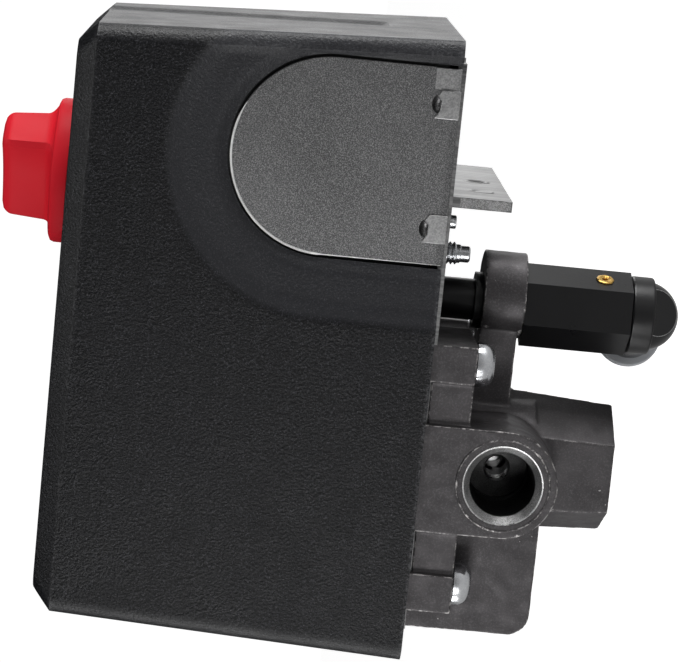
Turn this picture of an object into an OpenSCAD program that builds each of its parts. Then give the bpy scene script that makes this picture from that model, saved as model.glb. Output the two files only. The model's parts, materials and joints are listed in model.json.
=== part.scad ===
// Air compressor pressure switch with manifold, unloader valve and on/off knob.
// Millimetres. The origin is the centre of the inlet port's mouth. +Z runs up the inlet axis
// to the cover, +X is the cover's long direction, and the front port opens to -Y.

/* [Cover] */
// Length of the cover at its rim, along X
cover_len = 103.8; // [102:0.1:106]
// Depth of the cover at its rim, along Y
cover_dep = 60; // [59:0.5:64]
// Height of the cover's rim above the inlet mouth
rim_z = 34.3; // [34.1:0.1:34.5]
// Height of the cover's top above the inlet mouth
top_z = 96.6; // [96:0.1:98]
// Distance from the inlet axis to the middle of the cover
cover_x = 21.8; // [21.5:0.1:22.1]
// How far the cover leans towards -X at its shoulder
cover_lean = 0.4; // [0:0.1:0.6]
// Wall thickness of the cover
wall = 2.6; // [2.4:0.1:3]
// Bevel around the top face of the cover
top_bevel = 3.2; // [2:0.1:4]
// Bevel along the upright edges of the cover
edge_bevel = 2.2; // [1:0.1:3]
// Mould draft of the cover's sides, in degrees
draft = 2.5; // [1:0.1:3]

/* [Arched cable openings] */
// Middle of the arch along X
arch_x = 52.9; // [52.5:0.1:53.5]
// Height of the arch's centre
arch_z = 54.2; // [52:0.1:56]
// Radius of the steel side plate's arch
arch_r = 16.2; // [15:0.1:16.5]
// Gap between the side plate and the cover
arch_gap = 0.5; // [0.4:0.1:1]
// Outer radius of the dished surround
dish_r = 27; // [24:0.5:28]
// Depth of the dished surround
dish_depth = 1.8; // [1:0.1:2]

/* [Knob] */
// Distance from the inlet axis to the knob's axis
knob_x = 43; // [42.5:0.1:43.5]
// Radius of the knob's disc
disc_r = 12.4; // [11:0.1:13]
// Thickness of the knob's disc
disc_h = 3.2; // [2.5:0.1:4]
// Length of the bar grip
grip_len = 18.6; // [16:0.1:19]
// Thickness of the bar grip at its ends
grip_t = 8.6; // [7:0.1:9]
// Height of the bar grip above the disc
grip_h = 9.2; // [7:0.1:11]
// Angle of the bar grip from the cover's long direction
grip_angle = -40; // [-90:5:90]

/* [Manifold] */
// Width across the corners of the inlet hexagon, at its mouth
inlet_corners = 22.5; // [22:0.1:23]
// Width across the flats of the inlet hexagon, at its mouth
inlet_flats = 20.4; // [20:0.1:20.8]
// Growth of the inlet hexagon from its mouth to its root, by mould draft
inlet_growth = 1.11; // [1:0.01:1.12]
// Radius of the 1/4 inch taper port bores
port_r = 5.55; // [5.4:0.01:5.7]
// Radius of the ports' countersunk mouths
port_mouth_r = 6.7; // [6.2:0.1:7]
// Depth of the ports
port_depth = 14; // [12:0.5:14]
// Height of the front and rear port axis
port_z = 19.8; // [19.5:0.1:20.2]
// Distance of the front and rear port faces from the axis
port_y = 22.6; // [22.4:0.1:22.8]
// Radius of the front and rear port bosses
boss_r = 9.3; // [9:0.1:10]
// Distance of the side port's face from the axis
side_port_x = 28.7; // [28:0.1:29]
// Half width of the mounting flange along X
flange_x = 23; // [22.5:0.1:23.5]
// Half distance between the flange screws along X
screw_x = 19; // [18.8:0.1:19.2]
// Half distance between the flange screws along Y
screw_y = 16.2; // [16.1:0.1:16.4]

/* [Unloader valve] */
// Distance from the inlet axis to the valve axis
valve_x = 27.4; // [27:0.1:28]
// Width across the flats of the valve's hexagon
valve_flats = 12.5; // [12:0.1:13]
// Length of the valve's hexagon
valve_len = 18.4; // [18.2:0.1:18.4]
// Angle from +Y at which the elbow's leg stands out
elbow_angle = 21; // [0:1:40]
// Radius of the tube that the elbow takes
tube_r = 3; // [2:0.1:3]

/* [Hidden] */
$fn = 48;
eps = 0.01;

black = "#222326";
steel = "#9a9c9e";
cast = "#4c4849";

cover_hx = cover_len / 2;
cover_hy = cover_dep / 2;
shoulder_z = top_z - top_bevel;
shoulder_in = (shoulder_z - rim_z) * tan(draft);

plate_z = 33.5;
plate_t = 1.4;
plate_top = plate_z + plate_t;
plate_x = -26.5;
plate_len = 97;
plate_y = 21.4;
side_plate_y = 27;
side_plate_t = 1.2;
stake_off = 10.2;
stake_w = 4.7;
tab_x = 46.1;
tab_t = 1.8;
tab_w = 47;
tab_end_z = 23.5;
tab_hole_z = 27.9;

post_x = 27.5;
post_y = 17;
post_top = 87.3;
screw_tip_z = 79.3;
recess_h = 3.6;
guide_x = 41.5;
guide_y = 14;
guide_r = 1.5;
ground_x = 36.6;
ground_y = -10;
ground_tip_z = 28.5;
rivet_x = 41.9;
rivet_tip_z = 31.4;
shaft_r = 4;
boss_bottom = 83.3;
cam_z = 67.3;
cam_h = 4;
shaft_end = 2.4;
cam_off = 2.6;

inlet_facet = 6;
root_r = 11.4;
port_mouth_h = 1.15;
side_port_z = 21.8;
side_boss_z = 11.6;
flange_z = 26.2;
flange_y = 21.2;
pad_l = 6.6;
lip_h = 1.75;
ear_x = 28.9;
ear_r = 7.5;
ear_top = 25.1;
ear_bottom = 17.7;
web_y = 5;
web_z = 18.4;
spigot_r = 4.9;
nose_r = 3.6;
nose_z = 26.3;
valve_room = 7.6;
cross_r = 2;
screw_shank = 2;
chamber_r = 14;
diaphragm_r = 17;
diaphragm_t = 1.2;

pivot_x = -19;
pivot_z = 44.3;
lever_z = 43.3;
lever_t = 2;
pin_r = 2;
leg_y = 15;
nut_z = 71.3;
bridge_z = 81.8;
screw_r = 2.5;

block_x = 54;
block_top = 55.2;
contact_t = 1.1;
bar_z = 56.4;
carrier_z = 59.3;
foot_z = 45.6;
guide_top = 70.3;
strip_y = [-16, -6, 6, 16];

stem_r = 1.25;
cavity_r = 4;
valve_z = -0.7;
leg_z = -2.7;
leg_r = 4.8;
leg_start = 7.6;
leg_end = 15;
sleeve_r = 5.9;

// A block with bevelled upright edges, standing on Z 0.
module bevelled(hx, hy, c, h)
    linear_extrude(h)
        polygon([[hx - c, -hy], [hx, -hy + c], [hx, hy - c], [hx - c, hy],
                 [-hx + c, hy], [-hx, hy - c], [-hx, -hy + c], [-hx + c, -hy]]);

// The cover's outline, brought in by the given distance on every side.
module cover_shape(in, base)
    hull() {
        translate([cover_x, 0, base]) bevelled(cover_hx - in, cover_hy - in, edge_bevel, eps);
        translate([cover_x - cover_lean, 0, shoulder_z - in])
            bevelled(cover_hx - shoulder_in - in, cover_hy - shoulder_in - in, edge_bevel, eps);
        translate([cover_x - cover_lean, 0, top_z - in])
            bevelled(cover_hx - shoulder_in - top_bevel - in,
                     cover_hy - shoulder_in - top_bevel - in, edge_bevel, eps);
    }

// A tube standing on Z.
module tube(r_out, r_in, h)
    difference() {
        cylinder(r = r_out, h = h);
        translate([0, 0, -1]) cylinder(r = r_in, h = h + 2);
    }

// A rod along Y, centred on the XZ plane.
module rod_y(r, l) rotate([90, 0, 0]) cylinder(r = r, h = l, center = true);

// The arched shape, a round top on a straight foot, cut through along Y.
module arch(r, foot_z, y0, y1) {
    translate([arch_x, y1, arch_z]) rotate([90, 0, 0]) cylinder(r = r, h = y1 - y0);
    translate([arch_x - r, y0, foot_z]) cube([2 * r, y1 - y0, arch_z - foot_z]);
}

// The shallow dish that runs down to the arch, on the -Y face.
module dish()
    hull()
        for (z = [arch_z, rim_z - 12])
            translate([arch_x, -cover_hy - eps, z]) rotate([-90, 0, 0])
                cylinder(r1 = dish_r, r2 = arch_r + arch_gap, h = dish_depth + 1, $fn = 96);

module cover() color(black)
    difference() {
        union() {
            difference() {
                cover_shape(0, rim_z);
                cover_shape(wall, rim_z - 1);
            }
            translate([knob_x, 0, boss_bottom]) cylinder(r = 7, h = top_z - wall - boss_bottom + 0.5);
            for (s = [-1, 1])
                translate([post_x, s * post_y, post_top])
                    cylinder(r = 5.6, h = top_z - wall - post_top + 0.5);
        }
        translate([knob_x, 0, boss_bottom - 1]) cylinder(r = shaft_r + 0.08, h = 20);
        for (s = [-1, 1]) {
            translate([post_x, s * post_y, post_top - 1]) cylinder(r = 2.2, h = 12);
            translate([post_x, s * post_y, top_z - recess_h]) cylinder(r = 4.4, h = 8);
        }
        arch(arch_r + arch_gap, rim_z - 2, -cover_hy - 2, cover_hy + 2);
        dish();
        mirror([0, 1, 0]) dish();
    }

module cover_screws() color(steel)
    for (s = [-1, 1])
        translate([post_x, s * post_y, 0]) {
            translate([0, 0, screw_tip_z]) cylinder(r = 2, h = top_z - recess_h - screw_tip_z);
            difference() {
                translate([0, 0, top_z - recess_h]) cylinder(r = 3.6, h = 2.5);
                for (a = [0, 90])
                    translate([0, 0, top_z - recess_h + 2.8]) rotate(a) cube([4.6, 0.9, 2], center = true);
            }
        }

module cover_posts() color(steel)
    for (s = [-1, 1])
        translate([post_x, s * post_y, plate_top])
            difference() {
                cylinder(r = 3.9, h = post_top - plate_top, $fn = 6);
                translate([0, 0, 43]) cylinder(r = 2.05, h = 20);
            }

module knob() color("#d0202c")
    difference() {
        union() {
            translate([knob_x, 0, top_z + 0.4]) cylinder(r = disc_r, h = disc_h - 0.8, $fn = 96);
            translate([knob_x, 0, top_z + disc_h - 0.4])
                cylinder(r1 = disc_r, r2 = disc_r - 0.8, h = 0.8, $fn = 96);
            translate([knob_x, 0, top_z + disc_h]) rotate(grip_angle)
                difference() {
                    hull() {
                        for (x = [-1, 1], y = [-1, 1])
                            translate([x * (grip_len / 2 - 1.2), y * (grip_t / 2 - 1.2), 0])
                                cylinder(r = 1.2, h = 1, $fn = 24);
                        for (x = [-1, 1], y = [-1, 1])
                            translate([x * (grip_len / 2 - 2.1), y * (grip_t / 2 - 1.9), grip_h - 1.5])
                                sphere(r = 1.5, $fn = 24);
                    }
                    for (s = [-1, 1])
                        translate([0, s * (grip_t / 2 + 17.2), 1.4]) cylinder(r = 18.6, h = 20, $fn = 96);
                }
        }
        translate([knob_x, 0, top_z - 1]) cylinder(r = shaft_r + 0.02, h = 1 + shaft_end);
    }

module knob_shaft() color("#d8d4c8")
    translate([knob_x, 0, 0]) {
        translate([0, 0, cam_z + cam_h]) cylinder(r = shaft_r, h = top_z + shaft_end - 0.1 - cam_z - cam_h);
        translate([cam_off, 0, cam_z]) cylinder(r = 6, h = cam_h + 0.2);
    }

module knob_clip() color(steel)
    translate([knob_x, 0, boss_bottom - 1.4]) tube(6.4, shaft_r + 0.02, 1);

module base_plate() color(steel)
    difference() {
        union() {
            translate([plate_x, -plate_y, plate_z]) cube([plate_len, 2 * plate_y, plate_t]);
            translate([flange_x + 0.4, -side_plate_y + side_plate_t, plate_z])
                cube([46.5, 2 * (side_plate_y - side_plate_t), plate_t]);
            translate([tab_x, -tab_w / 2, tab_end_z]) cube([tab_t, tab_w, plate_z - tab_end_z + 0.5]);
        }
        translate([0, 0, plate_z - 1]) cylinder(r = chamber_r - 0.5, h = 5);
        for (x = [-1, 1], y = [-1, 1])
            translate([x * screw_x, y * screw_y, plate_z - 1]) cylinder(r = screw_shank + 0.05, h = 5);
        translate([valve_x, 0, plate_z - 1]) cylinder(r = nose_r + 0.3, h = 5);
        translate([ground_x, ground_y, plate_z - 1]) cylinder(r = 2, h = 5);
        translate([rivet_x, ground_y, plate_z - 1]) cylinder(r = 1.2, h = 5);
        translate([tab_x + tab_t - 0.5, 0, tab_hole_z]) rotate([0, 90, 0]) cylinder(r = 1.3, h = 2);
    }

// The arched side plate on the -Y side, with its two staked tabs.
module side_plate() {
    difference() {
        arch(arch_r, plate_z + 0.6, -side_plate_y, -side_plate_y + side_plate_t);
        translate([arch_x + 9.6, -side_plate_y - 1, plate_z]) cube([8, 1.5, 3.6]);
    }
    for (x = [arch_x - stake_off, arch_x + stake_off])
        translate([x - stake_w / 2, -side_plate_y - 0.35, plate_z + 0.6]) cube([stake_w, 0.6, 3.4]);
}

module side_plate_front() color(steel) side_plate();
module side_plate_rear() color(steel) mirror([0, 1, 0]) side_plate();

module ground_stud() color(steel)
    translate([ground_x, ground_y, 0]) {
        translate([0, 0, ground_tip_z]) cylinder(r = 1.45, h = 2);
        translate([0, 0, ground_tip_z + 1.6]) cylinder(r = 1.95, h = 12.4);
    }

module ground_nut() color("#c8a85a")
    translate([ground_x, ground_y, plate_top])
        difference() {
            cylinder(r = 3.6, h = 3.2, $fn = 6);
            translate([0, 0, -1]) cylinder(r = 2, h = 6);
        }

module small_rivet() color(steel)
    translate([rivet_x, ground_y, rivet_tip_z]) cylinder(r = 1.15, h = 5);

// A taper port's bore with its countersunk mouth, cut downward from Z 0.
module port() {
    translate([0, 0, -port_depth]) cylinder(r = port_r, h = port_depth + 1);
    translate([0, 0, -port_mouth_h]) cylinder(r1 = port_r, r2 = port_mouth_r, h = port_mouth_h + eps);
}

module manifold() color(cast)
    difference() {
        union() {
            linear_extrude(ear_bottom + 1, scale = inlet_growth)
                polygon([for (s = [-1, 1], x = [-inlet_corners / 2, -inlet_facet, inlet_facet])
                    [-s * x, abs(x) == inlet_facet ? s * inlet_flats / 2 : 0]]);
            translate([0, 0, ear_bottom - 4]) cylinder(r = root_r, h = flange_z - ear_bottom + 5);
            translate([-flange_x, -flange_y, flange_z])
                cube([2 * flange_x, 2 * flange_y, plate_z - flange_z]);
            translate([0, 0, port_z]) rod_y(boss_r, 2 * port_y);
            translate([-boss_r, -port_y, port_z]) cube([2 * boss_r, 2 * port_y, plate_z - port_z]);
            for (s = [-1, 1], x = [-flange_x, flange_x - pad_l])
                translate([x, s > 0 ? flange_y : -port_y, flange_z])
                    cube([pad_l, port_y - flange_y, plate_z - flange_z]);
            for (s = [-1, 1], x = [[-flange_x, pad_l], [-boss_r, 2 * boss_r], [flange_x - pad_l, pad_l]])
                translate([x[0], s > 0 ? plate_y + 0.1 : -port_y, plate_z - 1])
                    cube([x[1], port_y - plate_y - 0.1, lip_h]);
            translate([-side_port_x + 4, -12, side_boss_z])
                cube([side_port_x - 4, 24, plate_z - side_boss_z]);
            translate([-side_port_x, -12, side_boss_z + 4])
                cube([side_port_x, 24, plate_z - side_boss_z - 4]);
            translate([-side_port_x + 4, 0, side_boss_z + 4]) rod_y(4, 24);
            translate([0, -web_y, web_z]) cube([ear_x, 2 * web_y, ear_top - web_z]);
            translate([0, -web_y, web_z]) cube([20, 2 * web_y, flange_z - web_z + 1]);
            translate([ear_x, 0, ear_bottom]) cylinder(r = ear_r, h = ear_top - ear_bottom);
        }
        translate([0, 0, -1]) cylinder(r = port_r, h = port_depth + 1);
        for (s = [-1, 1])
            translate([0, -s * port_y, port_z]) rotate([s * 90, 0, 0]) port();
        translate([-side_port_x, 0, side_port_z]) rotate([0, -90, 0]) port();
        translate([0, 0, 10]) cylinder(r = cross_r, h = 25);
        translate([0, 0, port_z]) rod_y(cross_r, 2 * port_y - 20);
        translate([-20, 0, side_port_z]) rotate([0, 90, 0]) cylinder(r = cross_r, h = 20);
        translate([0, 0, plate_z - 3.8]) cylinder(r = chamber_r, h = 8);
        translate([0, 0, plate_z - diaphragm_t]) cylinder(r = diaphragm_r, h = 5);
        for (x = [-1, 1], y = [-1, 1])
            translate([x * screw_x, y * screw_y, flange_z - 5]) cylinder(r = screw_shank + 0.1, h = 15);
        translate([valve_x, 0, ear_bottom - 1]) cylinder(r = spigot_r + 0.05, h = 20);
        translate([valve_x, 0, ear_top]) cylinder(r = spigot_r + 0.9, h = 12);
        translate([valve_x, 0, ear_bottom - 6]) cylinder(r = valve_room, h = 6);
    }

module flange_screws() color("#d0d2d4")
    for (x = [-1, 1], y = [-1, 1])
        translate([x * screw_x, y * screw_y, 0]) {
            translate([0, 0, flange_z - 0.5]) cylinder(r = screw_shank, h = plate_top - flange_z + 0.5);
            intersection() {
                translate([0, 0, flange_z - 3.3]) cylinder(r = 3.8, h = 3.3);
                translate([0, 0, flange_z + 1.2]) sphere(r = 4.8);
            }
        }

module diaphragm() color("#1c1c1c")
    translate([0, 0, plate_z - diaphragm_t]) cylinder(r = diaphragm_r - 0.1, h = diaphragm_t);

module piston() color("#b8b8b8")
    translate([0, 0, plate_z + 0.02]) {
        cylinder(r = 12, h = 2);
        translate([0, 0, 1]) cylinder(r = 3, h = 7);
        translate([0, 0, 7]) cylinder(r = 1.5, h = lever_z - plate_z - 7.1);
    }

module spring_tower() color(steel)
    difference() {
        union() {
            for (s = [-1, 1]) {
                translate([-8, s * (leg_y + 0.75) - 0.75, plate_top])
                    cube([16, 1.5, bridge_z - plate_top + 2]);
                translate([-25, s * 14.25 - 2.25, plate_top]) cube([34, 4.5, 1.2]);
                translate([-25, s * 12.75 - 0.75, plate_top]) cube([11, 1.5, 15]);
            }
            translate([-8, -leg_y - 1.5, bridge_z]) cube([16, 2 * leg_y + 3, 2]);
        }
        translate([0, 0, plate_top - 1]) cylinder(r = 13.5, h = 3);
        translate([pivot_x, 0, pivot_z]) rod_y(pin_r + 0.02, 40);
        translate([0, 0, bridge_z - 1]) cylinder(r = screw_r + 0.06, h = 5);
    }

module lever() color(steel)
    difference() {
        union() {
            translate([pivot_x, -10, lever_z]) cube([38 - pivot_x, 20, lever_t]);
            translate([pivot_x, 0, pivot_z]) rod_y(3.4, 20);
            for (s = [0, 1])
                translate([pivot_x, s > 0 ? 8.9 : -10, lever_z]) cube([34, 1.1, 4.4]);
        }
        translate([pivot_x, 0, pivot_z]) rod_y(pin_r + 0.04, 30);
    }

module pivot_pin() color("#c8c8c8")
    translate([pivot_x, 0, pivot_z]) rod_y(pin_r, 29);

// Points of a ring of the coil's wire, at turn t of n.
function coil_ring(t, n, r, wire, z0, z1, sides) =
    [for (k = [0 : sides - 1]) let (a = 360 * t, b = 360 * k / sides, q = r + wire * cos(b))
        [q * cos(a), q * sin(a), z0 + wire + (z1 - z0 - 2 * wire) * t / n + wire * sin(b)]];

// A wound wire spring between two heights.
module coil(r, wire, z0, z1, n, steps = 14, sides = 6) {
    rings = n * steps;
    pts = [for (i = [0 : rings]) each coil_ring(i / steps, n, r, wire, z0, z1, sides)];
    skin = [for (i = [0 : rings - 1], k = [0 : sides - 1])
        [i * sides + k, (i + 1) * sides + k,
         (i + 1) * sides + (k + 1) % sides, i * sides + (k + 1) % sides]];
    polyhedron(points = pts, faces = concat(skin, [[for (k = [0 : sides - 1]) k],
        [for (k = [sides - 1 : -1 : 0]) rings * sides + k]]), convexity = 8);
}

module range_spring() color("#c4c6c8") coil(7, 1.1, lever_z + lever_t, nut_z, 6);

module spring_nut() color("#a8aaac")
    difference() {
        union() {
            translate([-7, -leg_y + 0.3, nut_z]) cube([14, 2 * leg_y - 0.6, 2.6]);
            translate([0, 0, nut_z - 5]) cylinder(r = 9.6, h = 6);
        }
        translate([0, 0, nut_z - 6]) cylinder(r = 8.4, h = 6);
        translate([0, 0, nut_z - 10]) cylinder(r = screw_r + 0.05, h = 20);
    }

module adjust_screw() color("#d4d6d8") {
    translate([0, 0, nut_z - 16]) cylinder(r = screw_r, h = bridge_z + 18.5 - nut_z);
    difference() {
        translate([0, 0, bridge_z + 2.1]) cylinder(r = 4.6, h = 4, $fn = 6);
        translate([0, 0, bridge_z + 6.1]) cube([12, 1.1, 2], center = true);
    }
}

module terminal_block() color("#2b2522")
    difference() {
        union() {
            translate([block_x, -20, plate_top]) cube([12.5, 40, block_top - plate_top]);
            for (y = [-20.8, -11, 0, 11, 20.8])
                translate([block_x + 1.6, y - 0.8, block_top - 10]) cube([10.9, 1.6, 17]);
        }
        for (y = strip_y)
            translate([block_x + 7, y, block_top - 7]) cylinder(r = 1.7, h = 10);
    }

module fixed_contacts() color("#c9a24a")
    for (y = strip_y)
        difference() {
            union() {
                translate([49.6, y - 2.2, block_top]) cube([16.4, 4.4, contact_t]);
                translate([51.6, y, block_top - 1.2]) cylinder(r = 1.6, h = 1.4);
            }
            translate([block_x + 7, y, block_top - 2]) cylinder(r = 1.6, h = 5);
        }

module terminal_screws() color("#d8d8d4")
    for (y = strip_y)
        translate([block_x + 7, y, 0]) {
            translate([0, 0, block_top - 6]) cylinder(r = 1.5, h = 8);
            difference() {
                translate([0, 0, block_top + contact_t]) cylinder(r = 2.9, h = 2.2);
                translate([0, 0, block_top + contact_t + 2.2]) cube([8, 0.8, 1.6], center = true);
            }
        }

module contact_carrier() color("#e6e2d6")
    difference() {
        union() {
            translate([35, -17.5, carrier_z]) cube([14, 35, 4]);
            for (y = [-1, 1])
                translate([46, y * 11 - 4, carrier_z]) cube([8, 8, 4]);
            translate([34.2, -6, foot_z]) cube([3.6, 12, 15]);
        }
        for (y = [-1, 1])
            translate([guide_x, y * guide_y, carrier_z - 5]) cylinder(r = guide_r + 0.06, h = 12);
    }

module carrier_guides() color("#b8babc")
    for (y = [-1, 1])
        translate([guide_x, y * guide_y, plate_top]) cylinder(r = guide_r, h = guide_top - plate_top);

module contact_bridges() color("#b87333")
    for (y = [-1, 1]) {
        translate([49.8, y * 11 - 7, bar_z]) cube([3.6, 14, 0.9]);
        translate([51.6, y * 11, bar_z]) cylinder(r = 1, h = 2.9);
    }

module bridge_springs() color(steel)
    for (y = [-1, 1])
        translate([51.6, y * 11, 0]) coil(1.6, 0.25, bar_z + 0.9, carrier_z, 3, 12, 5);

module valve_body() color("#202124")
    translate([valve_x, 0, valve_z])
        difference() {
            union() {
                rotate(10) cylinder(r = valve_flats / 2 / cos(30), h = valve_len, $fn = 6);
                translate([0, 0, valve_len - 1]) cylinder(r = spigot_r, h = nose_z + 1.7 - valve_len);
                translate([0, 0, nose_z]) cylinder(r = nose_r, h = 10.3);
            }
            translate([0, 0, -1]) cylinder(r = cavity_r, h = 15);
            translate([0, 0, 10]) cylinder(r = stem_r + 0.06, h = 30);
            rotate(-20) translate([0, 0, 4.8]) rotate([0, 90, 0]) cylinder(r = 1.3, h = 9);
        }

module valve_stem() color("#d8dadc")
    translate([valve_x, 0, valve_z]) {
        translate([0, 0, 10]) cylinder(r = stem_r, h = 33.8);
        translate([0, 0, 8.8]) cylinder(r = 3.8, h = 1.8);
    }

module stem_spring() color("#c4c6c8") translate([valve_x, 0, valve_z]) coil(3.4, 0.25, 1.1, 8.8, 6, 12, 5);

module bleed_insert() color("#c08a2c")
    translate([valve_x, 0, valve_z + 4.8]) rotate(-20) rotate([0, 90, 0])
        translate([0, 0, 4.4]) tube(1.28, 0.5, 2.1);

module valve_collar() color("#26272a")
    translate([valve_x, 0, valve_z])
        difference() {
            union() {
                translate([0, 0, -4]) cylinder(r = 6.7, h = 3.95);
                translate([0, 0, -1]) cylinder(r = cavity_r - 0.05, h = 2);
            }
            translate([0, 0, -5]) cylinder(r = tube_r + 0.1, h = 8);
        }

module elbow() color("#202124")
    translate([valve_x, 0, valve_z])
        difference() {
            union() {
                intersection() {
                    translate([0, 0, -2.8]) sphere(r = 6);
                    translate([0, 0, -10]) cylinder(r = 7, h = 5.9);
                }
                intersection() {
                    rotate(elbow_angle) translate([0, 0, leg_z]) rotate([-90, 0, 0])
                        cylinder(r = leg_r, h = leg_end);
                    translate([0, 0, -10]) cylinder(r = 20, h = 5.9);
                }
                rotate(elbow_angle) translate([0, leg_start, leg_z]) rotate([-90, 0, 0])
                    cylinder(r = leg_r, h = leg_end - leg_start);
                translate([0, 0, -5]) cylinder(r = tube_r, h = 5.7);
            }
            translate([0, 0, -3]) tube(5, 2.4, 1.2);
            translate([0, 0, -5]) cylinder(r = 1.4, h = 8);
            rotate(elbow_angle) translate([0, 9, leg_z]) rotate([-90, 0, 0]) cylinder(r = 4.05, h = 10);
            rotate(elbow_angle) translate([0, -1.4, -5.4]) rotate([-90, 0, 0]) cylinder(r = 1.2, h = 12);
        }

module elbow_seal() color("#101010")
    translate([valve_x, 0, valve_z - 2.4]) rotate_extrude() translate([2.74, 0]) circle(r = 0.33);

module elbow_sleeve() color("#9da0a4")
    translate([valve_x, 0, valve_z + leg_z]) rotate(elbow_angle) rotate([-90, 0, 0]) {
        translate([0, 0, 11]) tube(4, tube_r + 0.08, 6);
        translate([0, 0, 16.3]) tube(sleeve_r, tube_r + 0.08, 1.6);
    }

cover();
cover_screws();
cover_posts();
knob();
knob_shaft();
knob_clip();
base_plate();
side_plate_front();
side_plate_rear();
ground_stud();
ground_nut();
small_rivet();
manifold();
flange_screws();
diaphragm();
piston();
spring_tower();
lever();
pivot_pin();
range_spring();
spring_nut();
adjust_screw();
terminal_block();
fixed_contacts();
terminal_screws();
contact_carrier();
carrier_guides();
contact_bridges();
bridge_springs();
valve_body();
valve_stem();
stem_spring();
bleed_insert();
valve_collar();
elbow();
elbow_seal();
elbow_sleeve();
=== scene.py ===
# Looks of the pressure switch: better surfaces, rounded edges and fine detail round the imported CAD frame.
# Lengths are millimetres in the CAD frame until mesh_from() writes them out in metres.
import json
import math
import random

import bmesh
import bpy
from mathutils import Matrix, Vector, noise


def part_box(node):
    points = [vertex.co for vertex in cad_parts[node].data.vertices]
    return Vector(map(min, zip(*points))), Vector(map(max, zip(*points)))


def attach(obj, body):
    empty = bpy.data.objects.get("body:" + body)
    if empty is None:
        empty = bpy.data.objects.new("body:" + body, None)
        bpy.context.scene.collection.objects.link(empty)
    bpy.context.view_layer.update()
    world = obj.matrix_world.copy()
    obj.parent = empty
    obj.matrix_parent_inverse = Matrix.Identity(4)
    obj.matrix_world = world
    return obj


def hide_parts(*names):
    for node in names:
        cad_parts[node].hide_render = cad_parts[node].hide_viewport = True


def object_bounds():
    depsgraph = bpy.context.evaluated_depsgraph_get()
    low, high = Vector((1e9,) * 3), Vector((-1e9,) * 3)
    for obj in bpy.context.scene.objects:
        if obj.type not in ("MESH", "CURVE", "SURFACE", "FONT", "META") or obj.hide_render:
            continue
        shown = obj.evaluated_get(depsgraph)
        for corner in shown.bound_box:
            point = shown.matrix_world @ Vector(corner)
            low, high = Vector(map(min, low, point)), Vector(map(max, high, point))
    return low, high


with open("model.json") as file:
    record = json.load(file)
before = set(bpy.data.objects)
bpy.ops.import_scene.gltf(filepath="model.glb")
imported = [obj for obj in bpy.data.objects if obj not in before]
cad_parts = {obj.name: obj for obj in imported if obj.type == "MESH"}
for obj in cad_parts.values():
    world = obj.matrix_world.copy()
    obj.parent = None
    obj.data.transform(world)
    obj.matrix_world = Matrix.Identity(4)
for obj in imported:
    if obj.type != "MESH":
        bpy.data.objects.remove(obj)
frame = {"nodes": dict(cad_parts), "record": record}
CAD_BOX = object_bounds()
random.seed(7)

MM = 0.001
CAMERA_AT = (106.1, -488.9, 67.5)
CAMERA_TURN = (68.25, 84.17, -11.62)
CAMERA_LENS = 151.7


def box_mm(node):
    low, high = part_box(node)
    return low / MM, high / MM


COVER_LOW, COVER_HIGH = box_mm("cover")
PLATE_LOW, PLATE_HIGH = box_mm("side_plate_front")
ARCH_X = (PLATE_LOW.x + PLATE_HIGH.x) / 2
ARCH_R = (PLATE_HIGH.x - PLATE_LOW.x) / 2
ARCH_Z = PLATE_HIGH.z - ARCH_R
OPENING_R = ARCH_R + 0.5

# Cover: the broad dish round each opening, the bevels, the draft and the moulded step on the +X end
DISH_R, DISH_DEEP, DISH_BLUR = 27.0, 2.2, 1.2
DISH_LIP, DISH_SLOPE, DISH_RIM = 0.38, 0.27, 0.35
SIDE_FROM = 24.5
TOP_BEVEL, EDGE_BEVEL = 3.2, 2.4
LEAN = 0.4
DRAFT = math.tan(math.radians(2.5))
WALL = 2.6
GROOVE_DEEP, GROOVE_WIDE = 0.6, 12
GROOVE_FOOT, GROOVE_HEAD = 11, 3
GROOVE_FROM, GROOVE_SLANT = -2.5, 8.5
COVER_ROWS, LONG_COLUMNS, SHORT_COLUMNS, CORNER_COLUMNS = 100, 150, 110, 6
SHAFT_HOLE, SHAFT_BOSS, KNOB_BORE = 4.08, 4.12, 4.06
COVER_SCREW_HEAD, COVER_SCREW_HOLE = 3.6, 2.2

# Knob: its disc, its wing and how far the wing is turned at rest
KNOB_DISC = 3.2
WING_HALF, WING_WAIST, WING_TIP = 9.8, 2.75, 4.55
WING_CROWN, WING_FOOT, WING_FLARE, WING_CORNER = 1.7, 1.8, 1.3, 1.1
WING_SINK, WING_SHIFT, WING_TURN = 0.25, 0.3, -40

# Side plates: sheet, proud stakes and the notch beside the lower one
SHEET, STAKE_PROUD, STAKE_X = 1.2, 0.35, 10.2
NOTCH_X, NOTCH_H = 12.5, 4.3
FLANGE_BACK = 0.22
FOOT_STEPS, FOOT_ROLL = (0.25, 0.6, 1.0, 1.35, 1.7), 0.55

# Base plate: its bent tab, the holes in the tab and the plate's own rolled edges, drawn in a brighter steel
# as partly painted highlight
TAB_HALF, TAB_HEIGHT, TAB_THICK, TAB_START = 23.5, 8.6, 1.8, 0.25
TAB_HOLE_Z, TAB_DIMPLE_Y = 27.9, -13.5
PLATE_EDGE, PLATE_TOP = 21.4, 34.9
EDGE_RUNS = ((-16.2, -9.5), (9.5, 16.2))

# Fasteners
STUD_CORE, STUD_PITCH, STUD_DOG = 1.58, 0.7, 1.75
FLANGE_HEAD_R, FLANGE_HEAD_SEAT, FLANGE_HEAD_H = 3.8, 3.3, 3.25
COVER_HEAD_SEAT, COVER_HEAD_H = 2.5, 2.45
SHANK_R, CROSS_ARM, HEAD_STEPS = 2, 0.42, 48

# Ports in the casting
PORT_MOUTH, PORT_MOUTH_H, INLET_GROW, INLET_MOUTH_H = 6.7, 1.15, 0.55, 0.6
THREAD_PITCH = 1.41

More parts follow.
